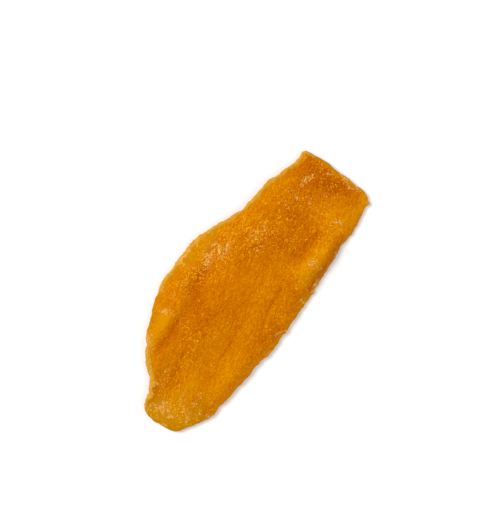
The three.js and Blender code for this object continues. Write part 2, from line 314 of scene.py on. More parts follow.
# Where sugar has bloomed
BLOOMS = {
    "upper knot left": ((1.2, 15.2), (4, 16), 2.0, 1.15),
    "upper knot right": ((8.2, 14.4), (9.2, 17), 1.5, 0.9),
    "upper knot foot": ((6, 11.8), (10, 12), 1.0, 0.9, 0.6),
    "upper knot crumb": ((10.6, 12.8), (11.4, 13), 0.9, 1.0),
    "upper knot tail": ((12.6, 13), (14, 16.4), 0.7, 0.5),
    "crust": ((-17, 24.4), (-11.5, 24.7), 0.7, 0.5),
    "upper crust": ((-4, 24.5), (5.6, 23.9), 0.9, 0.8),
    "upper trail": ((-3.4, 24), (-4.6, 20.6), 0.9, 0.5),
    "upper trail foot": ((-3, 19), (-3, 14.6), 0.5, 0.3),
    "shoulder crumb": ((-23.4, 17.8), (-22, 16.2), 1.1, 0.9),
    "shoulder small crumb": ((-17.2, 18), (-16.2, 18), 0.8, 0.6, 0.8),
    "shoulder small crumbs": ((-11, 18), (-8.8, 18), 0.7, 0.6, 0.6),
    "shoulder edge": ((-37.5, 14), (-34, 16.4), 1.2, 1.3, 0.75),
    "blunt tuck": ((-50, 5.6), (-48.6, 4), 0.6, 0.9),
    "blunt tuck foot": ((-47.6, 2.2), (-43.6, 2.6), 1.1, 0.5),
    "blunt tuck tail": ((-41, 3.4), (-39.6, 3.4), 0.7, 0.6),
    "blunt end corner": ((-58, 2), (-55.4, 1.2), 1.2, 0.75),
    "blunt end knot": ((-54.6, -1.8), (-52.6, -2.8), 1.8, 0.85),
    "blunt end knot foot": ((-54.8, -4.4), (-52.6, -6), 1.6, 0.6),
    "blunt end line": ((-55.4, -6.8), (-53.2, -9.6), 0.8, 0.8),
    "blunt rim crumb": ((-58.8, -7), (-58.2, -8.4), 0.7, 0.8),
    "blunt rim top crumb": ((-58.6, -2.4), (-58, -3.8), 0.7, 0.6),
    "blunt end streak": ((-49.6, -10.4), (-46, -6.9), 1.6, 0.6),
    "blunt end crumb": ((-45.6, -11.8), (-45, -12.6), 0.9, 1.1),
    "blunt end small crumb": ((-42, -13), (-41, -12), 0.8, 0.7),
    "blunt end spread": ((-52, -13.6), (-49.2, -13), 1.2, 0.8),
    "blunt end low crumb": ((-48, -16), (-46.8, -17), 1.0, 0.7),
    "blunt end lowest": ((-46, -19.2), (-44.6, -20.4), 0.8, 0.8),
    "middle ring": ((19.2, 8.6), (20.4, 5), 0.9, 0.8),
    "middle ring foot": ((24.2, 5), (26, 5.8), 0.9, 0.8),
    "middle ring top": ((21.8, 8.4), (23, 6.6), 0.8, 0.8),
    "middle spread": ((16.4, 2.2), (19.4, 1.6), 1.0, 0.5),
    "middle crumbs": ((23.6, 3), (25.8, 1.6), 0.8, 0.4),
    "broad end top crumb": ((58.2, 9.4), (58.1, 8.6), 0.6, 0.9),
    "broad end top spot": ((58.4, 7), (58.3, 6.2), 0.7, 0.6, 0.9),
    "broad end top spots": ((42.5, 5.7), (43.4, 4.4), 0.5, 0.7),
    "broad end far spots": ((49.7, -5.2), (50.2, -6.8), 0.5, 0.6),
    "broad end curl": ((46.4, 3.4), (49.6, 3.2), 0.6, 0.8),
    "broad end knot": ((49.2, 3), (50.8, 2.6), 1.1, 1.0, 1.1),
    "broad end curl tail": ((51, 2.2), (54, 2.2), 0.5, 0.8),
    "broad end spots": ((41.6, 3), (42, 2), 0.7, 0.9),
    "broad end low spots": ((42.6, -3.2), (44.6, -2.2), 0.6, 0.8),
    "broad end lone spot": ((42.4, -7), (43, -7), 0.6, 0.8),
    "broad end spot": ((37, 3.6), (37.6, 2.6), 0.5, 0.6),
    "broad end lip": ((58.8, -8), (58, -10), 0.9, 1.0),
    "broad end lip foot": ((57, -11), (59, -15), 0.6, 0.6),
    "broad end crust": ((55.2, -0.7), (58.2, -4.1), 0.6, 0.8),
    "broad end crust foot": ((56.7, -12), (58.5, -16.4), 0.5, 0.8),
    "fold crest crumb": ((24, -16.8), (26.4, -17), 0.9, 1.2, 1.0),
    "fold crest foot": ((24.8, -19.4), (25.2, -20.4), 1.0, 0.6),
    "fold edge": ((33, -22.4), (35.6, -21.4), 0.9, 0.6),
    "fold edge crumbs": ((20.6, -22.6), (16.6, -23.8), 0.6, 0.7, 0.8),
    "fold end crumb": ((43, -15.6), (43.8, -17.2), 0.8, 1.0),
    "lower edge crumb": ((11, -22.4), (11, -23.4), 0.7, 1.1),
    "lower crust": ((-7.5, -20.9), (-4.6, -23), 0.5, 0.7),
    "lower crust end": ((-4.6, -23), (-2, -24.2), 0.7, 0.9),
    "lower edge crumbs": ((15, -24), (21, -23.4), 0.7, 0.6),
    "lower edge lump": ((-14, -23.6), (-12, -24.4), 0.7, 1.2),
}

# Width in millimetres of the pale line that the cut rim shows from above, besides its least width
PALE_RIM_LEAST = 0.2
PALE_RIM = {
    "blunt end top": ((-58, 2.8), (-51.4, 5), 1.5, 0.6),
    "blunt upper edge foot": ((-52.4, 3.9), (-48.4, 5.6), 1.3, 1.5),
    "blunt upper edge": ((-47.6, 6.2), (-42, 12), 1.3, 2.0),
    "shoulder start": ((-40.6, 14), (-35.4, 17.2), 1.2, 2.1),
    "shoulder line": ((-33, 18.4), (-28.6, 20.4), 1.2, 0.45),
    "shoulder edge": ((-28, 20.8), (-20, 24), 2, 0.15),
    "crust": ((-17.4, 24.8), (-10.4, 25.3), 1.6, 1.9),
    "upper crust": ((-7, 25.3), (8, 24), 1.8, 2.0),
    "upper edge": ((10, 23.4), (20, 19), 2, 1.3),
    "upper edge knot": ((15, 21.6), (16, 21.2), 1.0, 0.8),
    "upper edge spots": ((22, 18), (31, 15.8), 1.6, 1.5),
    "upper edge end": ((34, 15.4), (42, 14.3), 1.8, 1.8),
    "upper edge tip": ((46, 12.6), (52.6, 11.4), 1.6, 1.5),
    "broad end top": ((55.4, 10.2), (57.6, 9.4), 1.2, 0.9),
    "broad end lip": ((59.8, -7), (59.2, -11), 1.6, 0.7),
    "broad end lip foot": ((58.9, -12), (58.9, -16), 1.5, 0.25),
    "broad corner spur": ((55.7, -20.6), (56, -20.5), 0.6, 1.5),
    "lower edge lump": ((-14, -24.4), (-12, -24.8), 1.2, 0.8),
    "lower edge crumb": ((11, -24.8), (11.6, -24.8), 1.2, 0.6),
}

# Width in millimetres of the olive yellow border inside it
OLIVE_BORDER = {
    "blunt end": ((-59, -8), (-50, -19), 5, 3.0),
    "blunt end top": ((-60, -2), (-55, 4), 3, 2.2),
    "blunt upper edge": ((-50, 8), (-40, 15), 3, 2.6),
    "shoulder edge": ((-34, 19), (-18, 24.6), 3, 1.2),
    "top edge": ((-14, 25.4), (10, 24), 3, 2.4),
    "upper edge": ((13, 22.6), (50, 13), 3, 2.8),
    "lower ridge edge": ((-42, -21), (-12, -25), 3, 0.9),
    "lower edge middle": ((-7, -25), (10, -25), 3, 1.3),
    "lower edge": ((12, -25), (44, -23), 3, 1.7),
    "broad end": ((59, 8), (59, -14), 3, 1.2),
}

# How the lumps and crumbs of the rim, the pale rim and the border show
RIM_REACH = 1.1  # how far in from the rim the lumps and crumbs reach
CRUMBS_LEAST = 0.6  # height of the crumbs where the rim isn't pale, over that of their layer
CRUMBS_MORE = 0.9  # the most that a pale rim adds to that
PALE_RIM_FADE = 0.6  # width over which the pale rim ends
BORDER_FADE = 1.6  # and the border

# Masks of the underside
UNDERSIDE_TONE = -0.15
UNDERSIDE_RIM = 0.35
UNDERSIDE_SPECKS = 0.4

# Layers of noise in the flesh's material: the factor along its direction, that direction in degrees, its
# size, detail, roughness and distortion
CLOUDS = (1, 0, 6.5, 3, 0.55, 0)
MOTTLES = (1, 0, 1.6, 3, 0.6, 0)
FIBRE_LINES = (0.11, 17, 1.0, 2, 0.5, 0)
SCRATCHES = (0.2, 12, 0.4, 2, 0.5, 0.3)
CRUST_CRUMBS = (0.6, 40, 0.5, 3, 0.6, 0.6)
FLESH_GRAIN = 0.45  # size of the surface grain
SUGAR_GRAIN = 0.8

# Depth in millimetres and strength of the bumps
GRAIN_RELIEF = (0.16, 0.8)
MOTTLE_RELIEF = (0.14, 0.7)
SUGAR_RELIEF = (0.12, 0.9)
CURL_RELIEF = 0.6  # height of the bright curls over that of the sugar

# Roughness of the flesh
FLESH_ROUGHNESS = 0.62
GLOSS = 0.16  # how much smoother it is between its pits
SUGAR_ROUGHNESS = 0.25  # what the crust of sugar adds

# Shade of the flesh: deep at 0, plain in the middle and golden at 1. Each share is how much a layer
# changes it. The tone layer also carries painted shade in hollows and creases and painted light on crests.
DEEP_TO_PLAIN = (0.0, 0.55)
PLAIN_TO_GOLD = (0.45, 1.0)
SHADE_MIDDLE = 0.53
TONE_AND_SHADE_SHARE = 0.5
CLOUD_SHARE = 0.35
MOTTLE_SHARE = 0.3
FIBRE_SHARE = 0.35
SCRATCH_SHARE = 0.9
# The grain's share is partly the flesh's own grain and partly painted light and shade on its tiny wrinkles
GRAIN_AND_SHADING_SHARE = 1.65
SPECK_GRAIN_SHARE = 0.4  # more of the grain among the specks

# The fine bright curls and dashes in the flesh, painted glints on its tiny bumps
CURLS_LEAST = -0.19  # their presence without clouds or specks
CLOUD_CURLS = 0.6  # what the lightest clouds add to it
SPECK_CURLS = 0.3  # and the specks
LACE_BRIGHTNESS = 0.6  # brightness of the curls over that of the dashes
DASH_ANGLES = (28, -47)
DASH_SQUEEZE = (0.75, 2.0, 2.0)  # points in a millimetre along a dash and across it

# The crust of sugar: fine noise above a limit shows as sugar
CRUST_LIMIT = 0.72
CRUST_FALL = 0.3  # how far the limit falls in a full bloom
CRUST_EDGE = 0.12  # how far above the limit the crust is full
RIM_CRUST = 0.35  # presence of the crust on the pale rim over that in a bloom

# Strength of the pale rim, and what light mottles add to it
RIM_STRENGTH = 0.45
RIM_MOTTLING = 0.8

# Strength of what else lies over the flesh's colour
HUE_STRENGTH = 0.75
CURL_AND_GLINT_STRENGTH = 0.75
HAZE_STRENGTH = 0.12
CRUST_STRENGTH = 0.7

# The grains of sugar: shares of the curls setting that start as chains in each kind of place
BARE_CHAINS = 0.13
SPECK_CHAINS = 0.32
BLOOM_CHAINS = 3.4
RIM_CHAINS = 2.2
CHAIN_GRAINS = 4.5  # mean number of grains after a chain's first, where it lies alone
RICH_SHORTENING = 0.5  # share of them that is missing in a full bloom
RIM_RICHNESS = 0.7  # richness of the sugar on the pale rim over that in a full bloom
CHAIN_CURL = 0.25  # spread of how far a chain turns in every step, in radians
RICH_CURL = 0.35  # what a full bloom adds to that
CHAIN_WOBBLE = 0.35  # spread of how far it turns in one step alone
LEAST_ROW = 0.05  # a step reckons with rows at least this far apart
MOST_CELLS = 4  # and goes over no more than this many cells
ROW_MARGIN = 0.001  # how far before the last row a chain is held
SUGAR_SEED = 31

# Shape of a grain, over its radius
GRAIN_LEAST = 0.8  # size of a grain that lies alone
GRAIN_MORE = 0.3  # what a full bloom adds to that
GRAIN_SPREAD = 0.25  # spread of the logarithm of its size
GRAIN_HALF_SIDE = 0.75
GRAIN_LIFT = 0.33  # height of its middle over the skin
CORNER_SHIFT = 0.28  # how far each corner may lie off, over the half side
GRAIN_FLATTEST = 0.55  # least factor of a grain's squeeze along an axis
CUBE_SIDES = [[0, 1, 3, 2], [4, 6, 7, 5], [0, 4, 5, 1], [2, 3, 7, 6], [0, 2, 6, 4], [1, 5, 7, 3]]

# The stage. The places and sizes of the lights are metres.
KEY_PLACE = (-0.05, 0.42, 0.5)
KEY_SIZE = 0.4
FILL_PLACE = (0.1, -0.5, 0.45)
FILL_SIZE = 0.5
FLOOR_HALF_SIDE = 2000
FLOOR_CORNERS = [(-1, -1, 0), (1, -1, 0), (1, 1, 0), (-1, 1, 0)]
VIEW_CENTRE = (11.25, 5.62, 3)  # point of the slice in the middle of the picture


def form_sum(x, y, forms):
    """Sum of the forms at points of the plan. One form gives its height times exp(-(a/w)^2 - (p/e)^2), where
    a is the distance aside of its line, w its width on that side, p the distance past the line's end and e
    FORM_END_WIDTH times its mean width."""
    total = np.zeros(np.shape(x))
    for (x0, y0), (x1, y1), *widths, height in forms.values():
        left, right = widths[0], widths[-1]
        length = math.hypot(x1 - x0, y1 - y0)
        along_x, along_y = (x1 - x0) / length, (y1 - y0) / length
        along = (x - x0) * along_x + (y - y0) * along_y
        aside = along_x * (y - y0) - along_y * (x - x0)
        past = np.maximum(np.maximum(-along, along - length), 0)
        width = np.where(aside > 0, left, right)
        end_width = FORM_END_WIDTH * (left + right) / 2
        total += height * np.exp(-((aside / width) ** 2) - (past / end_width) ** 2)
    return total


def sheet_height(x, y):
    """Height of the sheet without the curl of its edge: two parabolic arches, -a (y/b)^2 and -c (x/d)^2, and
    the forms."""
    arch = -ARCH_ACROSS * (y / ARCH_HALF_WIDTH) ** 2 - ARCH_ALONG * (x / ARCH_HALF_LENGTH) ** 2
    return arch + form_sum(x, y, FORMS)


def unit(vectors):
    """The same directions at length 1."""
    return vectors / np.linalg.norm(vectors, axis=-1, keepdims=True)


def lattice_noise(points, seed):
    """Smooth random heights, about -1 to 1. Each corner of a unit lattice has a random slope. A point takes
    each corner's slope times its offset from it, blended by 6t^5 - 15t^4 + 10t^3 along each axis."""
    slopes = unit(np.random.default_rng(seed).normal(size=(LATTICE_SLOPES, 3)))
    cell = np.floor(points).astype(np.int64)
    offset = points - cell
    fade = offset**3 * (offset * (offset * 6 - 15) + 10)
    total = np.zeros(points.shape[:-1])
    for corner in product((0, 1), repeat=3):
        mixed = (cell + corner) * LATTICE_PRIMES
        pick = (mixed[..., 0] ^ mixed[..., 1] ^ mixed[..., 2]) % LATTICE_SLOPES
        share = np.prod(np.where(corner, fade, 1 - fade), axis=-1)
        total += share * np.sum(slopes[pick] * (offset - corner), axis=-1)
    return total * LATTICE_HEIGHT


def wrinkles(points, layer):
    """Heights of one layer of wrinkles: lattice noise on coordinates turned about Z by the layer's angle,
    then divided by its length along X and by its width along Y and Z."""
    length, width, degrees, height, seed = layer
    turn = math.radians(degrees)
    along = points[..., 0] * math.cos(turn) + points[..., 1] * math.sin(turn)
    aside = points[..., 1] * math.cos(turn) - points[..., 0] * math.sin(turn)
    stretched = np.stack([along / length, aside / width, points[..., 2] / width], axis=-1)
    return height * lattice_noise(stretched + seed, seed)


def edge_points():
    """Plan, outward direction and lift of the cut edge at equal steps. A uniform Catmull-Rom curve goes
    through EDGE: between b and c, with a before and d after, it is b + (c - a) t/2
    + (2a - 5b + 4c - d) t^2/2 + (3b - a - 3c + d) t^3/2. The waves are then added along the outward
    direction."""
    corners = np.array(EDGE, float)
    a, b, c, d = (np.roll(corners, shift, axis=0)[:, None, :] for shift in (1, 0, -1, -2))
    t = (np.arange(CURVE_STEPS) / CURVE_STEPS)[None, :, None]
    curve = b + (c - a) * t / 2 + (2 * a - 5 * b + 4 * c - d) * t**2 / 2 + (3 * b - a - 3 * c + d) * t**3 / 2
    curve = curve.reshape(-1, 3)
    closed = np.vstack([curve, curve[:1]])
    travelled = np.concatenate([[0], np.cumsum(np.linalg.norm(np.diff(closed, axis=0), axis=1))])
    share = np.arange(POINTS_ROUND) / POINTS_ROUND
    points = np.stack([np.interp(share * travelled[-1], travelled, closed[:, k]) for k in range(3)], axis=1)
    step = np.roll(points, -1, axis=0) - np.roll(points, 1, axis=0)
    out = unit(np.stack([step[:, 1], -step[:, 0]], axis=1))
    wave = sum(swing * np.sin(2 * np.pi * count * share + start) for count, swing, start in EDGE_WAVES)
    return points[:, :2] + out * wave[:, None], out, points[:, 2]


def sheet_grid():
    """Mid surface, its thickness and the distance from the rim, as rows from the edge to the spine. A point
    is on the straight line from the rim to its place on the spine, which goes there and back once as the
    edge goes round. Its height is that of the sheet plus lift times (1 - inset / curl width)^2."""
    cut, out, lift = edge_points()
    turn = np.cos(2 * np.pi * np.arange(POINTS_ROUND) / POINTS_ROUND)[:, None]
    blunt, broad = cut[POINTS_ROUND // 2], cut[0]
    spine = blunt + (broad - blunt) * (1 + SPINE_SHARE * turn) / 2
    rim = cut - out * RIM_BULGE
    outward = (1 - (np.arange(RINGS) / (RINGS - 1)) ** RING_CROWDING)[:, None, None]
    plan = spine + (rim - spine) * outward
    inset = (1 - outward[..., 0]) * np.linalg.norm(rim - spine, axis=1)
    curl_width = np.where(lift > 0, CURL_UP_WIDTH, CURL_DOWN_WIDTH)
    height = sheet_height(plan[..., 0], plan[..., 1]) + lift * np.maximum(0, 1 - inset / curl_width) ** 2
    thinning = np.maximum(0, 1 - inset / TAPER_WIDTH) ** 2
    thickness = THICKNESS_MIDDLE + (THICKNESS_RIM - THICKNESS_MIDDLE) * thinning
    return np.concatenate([plan, height[..., None]], axis=-1), thickness, inset


def weld(rows, spine_rows):
    """Quads of a grid that closes round on itself, which grid points become vertices, and the number of each
    grid point's vertex. A spine row goes there and back along one line, so both ways share its vertices."""
    number = np.arange(rows * POINTS_ROUND).reshape(rows, POINTS_ROUND)
    column = np.arange(POINTS_ROUND)
    for row in spine_rows:
        number[row] = number[row][np.minimum(column, POINTS_ROUND - column)]
    kept, number = np.unique(number, return_inverse=True)
    number = number.reshape(rows, POINTS_ROUND)
    after = np.roll(number, -1, axis=1)
    quads = np.stack([number[:-1], after[:-1], after[1:], number[1:]], axis=-1).reshape(-1, 4)
    return quads, kept, number


def grid_normals(grid, spine_rows):
    """Directions out of a welded grid: at each vertex the sum of cross products of its quads' diagonals."""
    quads, kept, number = weld(len(grid), spine_rows)
    points = grid.reshape(-1, 3)[kept]
    a, b, c, d = (points[quads[:, k]] for k in range(4))
    facing = np.repeat(np.cross(c - a, d - b), 4, axis=0)
    sums = [np.bincount(quads.ravel(), facing[:, k], len(points)) for k in range(3)]
    return unit(np.stack(sums, axis=1))[number]


def smooth_skin():
    """The skin as rows from the spine out over the face, round the rim and back under to the spine, and each
    point's distance in from the rim, negative where the rim bulges out. The face and underside are the mid
    surface plus and minus half the thickness along its normal. The rim is half an ellipse between them."""
    sheet, thickness, inset = sheet_grid()
    normals = grid_normals(sheet, [RINGS - 1])
    half = normals * thickness[..., None] / 2
    along = unit(np.roll(sheet[0], -1, axis=0) - np.roll(sheet[0], 1, axis=0))
    outward = np.cross(along, normals[0])
    turns = (np.pi / 2 - np.pi * np.arange(1, RIM_STEPS + 1) / (RIM_STEPS + 1))[:, None, None]
    rim = sheet[0] + half[0] * np.sin(turns) + outward * RIM_BULGE * np.cos(turns)
    under = slice(0, None, UNDERSIDE_EVERY)
    skin = np.concatenate([(sheet + half)[::-1], rim, (sheet - half)[under]])
    bulge = -RIM_BULGE * np.cos(turns[..., 0]) + np.zeros(POINTS_ROUND)
    return skin, np.concatenate([inset[::-1], bulge, inset[under]])


def lay_down(skin):
    """The skin with its plan fitted to the solid's box, and lowered until SETTLE of it is below z = 0."""
    low, high = np.array(CAD_LOW) / MM, np.array(CAD_HIGH) / MM
    corner_low, corner_high = skin.min((0, 1)), skin.max((0, 1))
    fitted = (skin - corner_low) / (corner_high - corner_low) * (high - low) + low
    fitted[..., 2] = skin[..., 2] - corner_low[2] - SETTLE
    return fitted


def until_row(skin, end):
    """1 for the first rows of the skin, which are the face's, falling to 0 over the FADE_ROWS rows before the
    given one."""
    return np.clip((end - np.arange(len(skin))[:, None]) / FADE_ROWS, 0, 1)


def relief(skin, distance):
    """Height of all wrinkles and creases over the smooth skin. The creases end where the rim turns down, the
    fibres show only in their zones, and the lumps and crumbs only near the rim."""
    x, y = skin[..., 0], skin[..., 1]
    total = wrinkles(skin, SWELLS) + wrinkles(skin, PUCKERS) + wrinkles(skin, FINE_PUCKERS)
    total += wrinkles(skin, FIBRES) * form_sum(x, y, FIBRE_ZONES)
    crumbs = wrinkles(skin, RIM_CRUMBS) * (CRUMBS_LEAST + np.minimum(form_sum(x, y, PALE_RIM), CRUMBS_MORE))
    total += (wrinkles(skin, RIM_LUMPS) + crumbs) * np.exp(-((distance / RIM_REACH) ** 2))
    return total + form_sum(x, y, CREASES) * until_row(skin, RINGS + 2)


def slice_masks(skin, distance):
    """Masks of the smooth skin. The pale rim and the border are as wide as their zones say at the nearest
    point of the cut edge, made uneven by a layer of noise. The others are sums of their zones, for the face
    and the rim."""
    x, y = skin[..., 0], skin[..., 1]
    cut_x, cut_y = x[RINGS - 1], y[RINGS - 1]
    face = until_row(skin, RINGS + RIM_STEPS)
    from_cut = distance + RIM_BULGE
    unevenness = 1 + wrinkles(skin, UNEVEN_RIM)
    pale_width = (PALE_RIM_LEAST + form_sum(cut_x, cut_y, PALE_RIM)) * unevenness
    pale_rim = np.clip((pale_width - from_cut) / PALE_RIM_FADE, 0, 1)
    border_width = form_sum(cut_x, cut_y, OLIVE_BORDER) * unevenness
    border = np.clip((border_width - from_cut) / BORDER_FADE + 0.5, 0, 1) * np.clip(border_width, 0, 1)
    # The tone mask: the flesh's own tone, with painted shade in hollows and creases and painted light on
    # crests
    tone_and_shade = form_sum(x, y, TONE_AND_SHADE_ZONES) + PAINTED_CREASE_SHADE * form_sum(x, y, CREASES)
    return {
        "tone_and_shade": tone_and_shade * face + UNDERSIDE_TONE * (1 - face),
        "bloom": np.clip(form_sum(x, y, BLOOMS) * face, 0, 1),
        "pale_rim": pale_rim * (UNDERSIDE_RIM + (1 - UNDERSIDE_RIM) * face),
        "hue": np.maximum(border, form_sum(x, y, HUES) * face),
        "specks": np.clip(form_sum(x, y, SPECKLES) * face + UNDERSIDE_SPECKS * (1 - face), 0, 1),
    }


def slice_skin(settings):
    """Final points of the skin in millimetres, and its masks. The relief moves the smooth skin along its
    normals. The nicks and a fine raggedness move it along its plan, times exp(-(distance / NICK_REACH)^2).
    What would lie below the floor is pressed flat on it."""
    smooth, distance = smooth_skin()
    smooth = lay_down(smooth)
    normals = grid_normals(smooth, [0, len(smooth) - 1])
    skin = smooth + normals * (relief(smooth, distance) * settings.wrinkle_depth)[..., None]
    cut = smooth[RINGS - 1]
    ragged = form_sum(cut[:, 0], cut[:, 1], NICKS) + wrinkles(cut, RAGGED_EDGE)
    skin[..., :2] += edge_points()[1] * (ragged * np.exp(-((distance / NICK_REACH) ** 2)))[..., None]
    skin[..., 2] = np.maximum(skin[..., 2], 0)
    return skin, slice_masks(smooth, distance)


def put_mesh(name, points, faces, masks=None):
    """An object at the origin with points in millimetres, faces of one size, and masks as attributes."""
    mesh = bpy.data.meshes.new(name)
    corners = faces.shape[1]
    mesh.vertices.add(len(points))
    mesh.vertices.foreach_set("co", (points * MM).astype(np.float32).ravel())
    mesh.loops.add(faces.size)
    mesh.loops.foreach_set("vertex_index", faces.astype(np.int32).ravel())
    mesh.polygons.add(len(faces))
    mesh.polygons.foreach_set("loop_start", np.arange(0, faces.size, corners, dtype=np.int32))
    mesh.update(calc_edges=True)
    mesh.validate()
    for label, values in (masks or {}).items():
        attribute = mesh.attributes.new(label, "FLOAT", "POINT")
        attribute.data.foreach_set("value", values.astype(np.float32).ravel())
    made = bpy.data.objects.new(name, mesh)
    bpy.context.scene.collection.objects.link(made)
    return made


def fill_inputs(tree, made, inputs):
    """Gives each of a shader node's inputs a number, a colour or the output of another node."""
    for name, value in inputs.items():
        if isinstance(value, bpy.types.NodeSocket):
            tree.links.new(value, made.inputs[name])
        else:
            made.inputs[name].default_value = value


def add_node(tree, kind, inputs=None, **settings):
    """One shader node with its settings and inputs."""
    made = tree.nodes.new("ShaderNode" + kind)
    for name, value in settings.items():
        setattr(made, name, value)
    fill_inputs(tree, made, inputs or {})
    return made


def maths(tree, operation, first, second=0.0, third=0.0, clamp=False):
    """Output of a Math node."""
    inputs = {0: first, 1: second, 2: third}
    return add_node(tree, "Math", inputs, operation=operation, use_clamp=clamp).outputs[0]


def smooth_step(tree, value, low, high):
    """0 where the value is below low, 1 above high, and a smooth ramp between them."""
    inputs = {"Value": value, "From Min": low, "From Max": high}
    return add_node(tree, "MapRange", inputs, interpolation_type="SMOOTHSTEP").outputs["Result"]


def blend(tree, share, first, second):
    """Colour between two others."""
    return add_node(tree, "Mix", {0: share, 6: first, 7: second}, data_type="RGBA").outputs[2]


def mask(tree, name):
    """A mask that the piece's mesh carries."""
    return add_node(tree, "Attribute", attribute_name=name).outputs["Fac"]


def turned(tree, place, degrees):
    """The place turned about Z, so that its X runs at this angle to the slice's length."""
    inputs = {"Vector": place, "Rotation": (0, 0, math.radians(-degrees))}
    return add_node(tree, "Mapping", inputs).outputs[0]


def millimetres(tree, scale=(1, 1, 1), degrees=0):
    """Object coordinates in millimetres, turned about Z and then scaled."""
    place = turned(tree, add_node(tree, "TexCoord").outputs["Object"], degrees)
    return add_node(tree, "Mapping", {"Vector": place, "Scale": [s / MM for s in scale]}).outputs[0]


def noise(tree, layer):
    """Noise value about 0 to 1 of one layer in the flesh."""
    along, degrees, size, detail, roughness, distortion = layer
    inputs = {
        "Vector": millimetres(tree, (along, 1, 1), degrees),
        "Scale": 1 / size,
        "Detail": detail,
        "Roughness": roughness,
        "Distortion": distortion,
    }
    return add_node(tree, "TexNoise", inputs).outputs["Fac"]


def new_group(name, inputs, outputs):
    """An empty node group with named float or vector sockets, and its input and output nodes."""
    group = bpy.data.node_groups.new(name, "ShaderNodeTree")
    for socket, value in inputs.items():
        kind = "NodeSocketVector" if value is None else "NodeSocketFloat"
        made = group.interface.new_socket(name=socket, in_out="INPUT", socket_type=kind)
        if value is not None:
            made.default_value = value
    for socket in outputs:
        group.interface.new_socket(name=socket, in_out="OUTPUT", socket_type="NodeSocketFloat")
    return group, group.nodes.new("NodeGroupInput").outputs, group.nodes.new("NodeGroupOutput").inputs


def placed_group(tree, name, inputs):
    """Outputs of a node group that is placed in a material with its own values."""
    return add_node(tree, "Group", node_tree=bpy.data.node_groups[name], inputs=inputs).outputs


def stirred(tree, place, size, swing):
    """The place moved by up to half of swing along each axis by a noise with waves of the given size."""
    inputs = {"Vector": place, "Scale": maths(tree, "DIVIDE", 1.0, size), "Detail": 1.0}
    stir = add_node(tree, "TexNoise", inputs).outputs["Color"]
    centred = add_node(tree, "VectorMath", {0: stir, 1: (0.5, 0.5, 0.5)}, operation="SUBTRACT")
    moved = add_node(tree, "VectorMath", {0: centred.outputs[0], "Scale": swing}, operation="SCALE")
    return add_node(tree, "VectorMath", {0: place, 1: moved.outputs[0]}, operation="ADD").outputs[0]


def lace_group():
    """Curly lace: the walls between random cells of a stirred space, kept where a noise is above a limit that
    falls from 0.75 to 0.35 as Presence rises from 0 to 1."""
    inputs = {"Place": None, "Size": 1.2, "Width": 0.12, "Presence": 0.5}
    group, given, result = new_group("lace", inputs, ["Lace"])
    scale = maths(group, "DIVIDE", 1.0, given["Size"])
    curly = stirred(group, given["Place"], given["Size"], maths(group, "MULTIPLY", given["Size"], 1.6))
    walls = add_node(group, "TexVoronoi", {"Vector": curly, "Scale": scale}, feature="DISTANCE_TO_EDGE")
    beside = smooth_step(group, walls.outputs["Distance"], 0.0, given["Width"])
    line = maths(group, "SUBTRACT", 1.0, beside)
    inputs = {"Vector": given["Place"], "Scale": scale, "Detail": 1.0}
    breaks = add_node(group, "TexNoise", inputs).outputs["Fac"]
    limit = maths(group, "MULTIPLY_ADD", given["Presence"], -0.4, 0.75)
    kept = smooth_step(group, breaks, limit, maths(group, "ADD", limit, 0.1))
    group.links.new(maths(group, "MULTIPLY", line, kept, clamp=True), result["Lace"])


def dashes_group():
    """Short fine dashes of uneven brightness in two directions: the nearest of random points in a stirred
    space that is squeezed along each direction, for that share of the points that Presence gives."""
    group, given, result = new_group("dashes", {"Place": None, "Presence": 0.3}, ["Dashes"])
    curly = stirred(group, given["Place"], 0.9, 0.9)
    limit = maths(group, "SUBTRACT", 1.0, given["Presence"])
    total = 0.0
    for degrees in DASH_ANGLES:
        inputs = {"Vector": turned(group, curly, degrees), "Scale": DASH_SQUEEZE}
        squeezed = add_node(group, "Mapping", inputs).outputs[0]
        points = add_node(group, "TexVoronoi", {"Vector": squeezed, "Scale": 1.0}).outputs
        near = maths(group, "SUBTRACT", 1.0, smooth_step(group, points["Distance"], 0.15, 0.5))
        chance = add_node(group, "SeparateColor", {"Color": points["Color"]}).outputs[0]
        chosen = smooth_step(group, chance, limit, maths(group, "ADD", limit, 0.3))
        total = maths(group, "MULTIPLY_ADD", near, chosen, total, clamp=True)
    group.links.new(total, result["Dashes"])


def grain_group():
    """Uneven surface grain: noise, and finer cells that are sharpened to small pits."""
    group, given, result = new_group("surface grain", {"Place": None, "Size": 1.0}, ["Grain", "Pits"])
    scale = maths(group, "DIVIDE", 1.0, given["Size"])
    inputs = {"Vector": given["Place"], "Scale": scale, "Detail": 3.0, "Roughness": 0.62}
    grain = add_node(group, "TexNoise", inputs).outputs["Fac"]
    inputs = {"Vector": given["Place"], "Scale": maths(group, "MULTIPLY", scale, 1.4)}
    cells = add_node(group, "TexVoronoi", inputs, feature="SMOOTH_F1").outputs["Distance"]
    group.links.new(grain, result["Grain"])
    group.links.new(smooth_step(group, cells, 0.1, 0.55), result["Pits"])


def new_material(name):
    """An empty material with its Principled shader."""
    material = bpy.data.materials.new(name)
    material.use_nodes = True
    tree = material.node_tree
    return material, tree, tree.nodes["Principled BSDF"]


def bumpy(tree, layers):
    """Normal of a surface that each layer raises by its values times its depth in millimetres."""
    normal = None
    for values, depth, strength in layers:
        inputs = {"Height": values, "Distance": depth * MM, "Strength": strength}
        if normal:
            inputs["Normal"] = normal
        normal = add_node(tree, "Bump", inputs).outputs["Normal"]
    return normal


